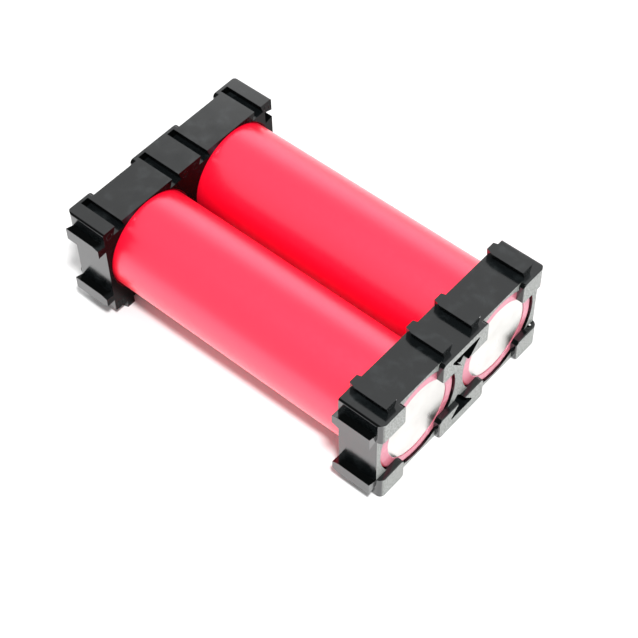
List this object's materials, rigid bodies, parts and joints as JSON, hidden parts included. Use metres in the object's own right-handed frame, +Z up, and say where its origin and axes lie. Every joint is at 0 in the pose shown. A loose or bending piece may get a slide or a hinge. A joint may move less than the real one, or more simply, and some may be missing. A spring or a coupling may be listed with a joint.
{
  "type": "battery cell holder bracket",
  "caption": "Pair of black moulded cell holder brackets with dovetail rails and strip channels, clipped over the ends of red-sleeved cylindrical cells to make a flat battery pack.",
  "frame": {"origin": "middle of the pack's footprint, at the height of the lowest ribs", "axes": "+X along the cells to the negative end, +Y from cell 1 to cell 2, +Z up"},
  "size_m": [0.0672, 0.0426, 0.0228],
  "materials": {
    "bracket_plastic": "injection-moulded black ABS, glossy sides, fine-grained outer faces",
    "sleeve_film": "red shrunk PVC film, glossy",
    "can_steel": "nickel-plated deep-drawn steel, satin",
    "insulator_paper": "white insulating paper, matt"
  },
  "bodies": {
    "root": {"bracket_negative_end": "bracket_plastic", "bracket_positive_end": "bracket_plastic", "cell_1_can": "can_steel", "cell_1_sleeve": "sleeve_film", "cell_1_insulator": "insulator_paper", "cell_1_cap": "can_steel", "cell_2_can": "can_steel", "cell_2_sleeve": "sleeve_film", "cell_2_insulator": "insulator_paper", "cell_2_cap": "can_steel"}
  },
  "joints": []
}
